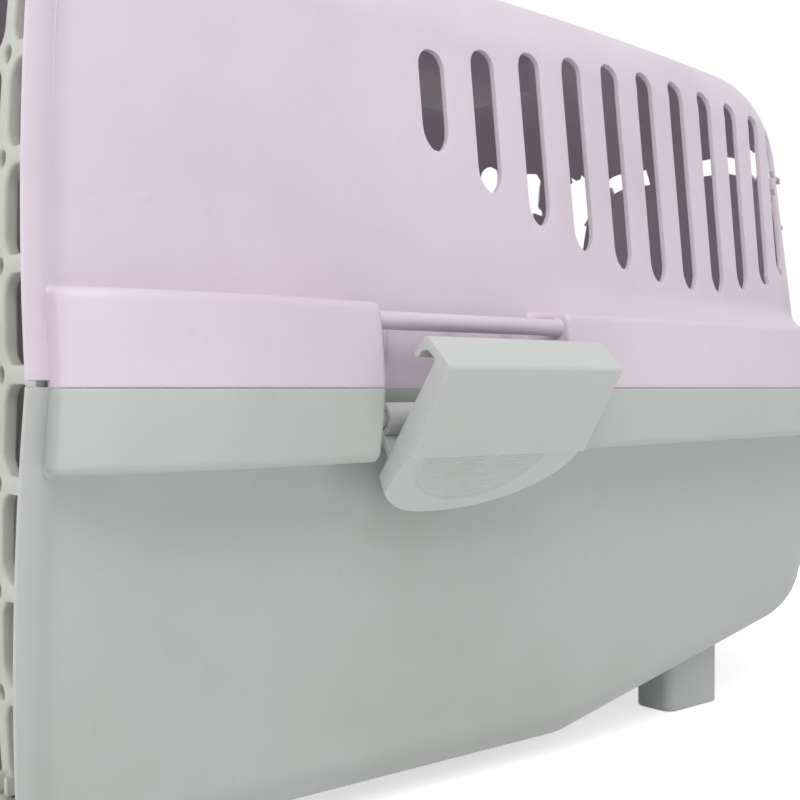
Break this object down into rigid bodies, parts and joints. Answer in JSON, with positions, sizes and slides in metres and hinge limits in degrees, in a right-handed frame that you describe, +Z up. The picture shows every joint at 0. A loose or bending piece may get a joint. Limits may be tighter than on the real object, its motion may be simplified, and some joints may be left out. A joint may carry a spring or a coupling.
{
  "type": "plastic pet carrier",
  "caption": "Two-shell plastic carrier for a small pet, with a grille door, snap-over side and rear latches, vent slots and a folding handle.",
  "frame": {"origin": "on the ground, under the middle of the carrier as it stands with its latches open", "axes": "+Z up, +Y towards the rear, the door faces -Y, +X is the side with the right-hand latch"},
  "size_m": [0.4318, 0.6218, 0.3809],
  "materials": {
    "lower_plastic": "fine satin grain",
    "upper_plastic": "fine satin grain, pale lilac",
    "door_plastic": "satin, slightly warm grey",
    "latch_plastic": "satin light grey",
    "handle_plastic": "satin light grey",
    "spring_steel": "bright drawn wire"
  },
  "bodies": {
    "lower": {"lower_shell": "lower_plastic"},
    "upper": {"upper_shell": "upper_plastic"},
    "door": {"door_grille": "door_plastic", "door_latch_cover": "door_plastic", "door_latch_spring": "spring_steel"},
    "bolt_upper": {"door_bolt_upper": "door_plastic"},
    "bolt_lower": {"door_bolt_lower": "door_plastic"},
    "right_latch": {"latch_right": "latch_plastic"},
    "left_latch": {"latch_left": "latch_plastic"},
    "rear_latch": {"latch_rear": "latch_plastic"},
    "handle": {"carry_handle": "handle_plastic"}
  },
  "joints": [
    {"name": "lid_lift", "type": "slide", "parent": "lower", "child": "upper", "axis": [0, 0, 1], "range_m": [0, 0.12]},
    {"name": "door_swing", "type": "hinge", "parent": "lower", "child": "door", "pos_m": [-0.1196, -0.28397, 0.1843], "axis": [0, 0, -1], "range_deg": [0, 110]},
    {"name": "upper_bolt_slide", "type": "slide", "parent": "door", "child": "bolt_upper", "axis": [0, 0, 1], "range_m": [0, 0.008]},
    {"name": "lower_bolt_slide", "type": "slide", "parent": "door", "child": "bolt_lower", "axis": [0, 0, -1], "range_m": [0, 0.008]},
    {"name": "right_latch_hinge", "type": "hinge", "parent": "lower", "child": "right_latch", "pos_m": [0.1695, -0.12743, 0.1721], "axis": [0, 1, 0], "range_deg": [-43, 12]},
    {"name": "left_latch_hinge", "type": "hinge", "parent": "lower", "child": "left_latch", "pos_m": [-0.1695, -0.12743, 0.1721], "axis": [0, -1, 0], "range_deg": [-43, 12]},
    {"name": "rear_latch_hinge", "type": "hinge", "parent": "lower", "child": "rear_latch", "pos_m": [0, 0.26457, 0.1721], "axis": [-1, 0, 0], "range_deg": [-43, 12]},
    {"name": "handle_fold", "type": "hinge", "parent": "upper", "child": "handle", "pos_m": [-0.022, -0.03593, 0.3681], "axis": [0, -1, 0], "range_deg": [0, 95]}
  ]
}
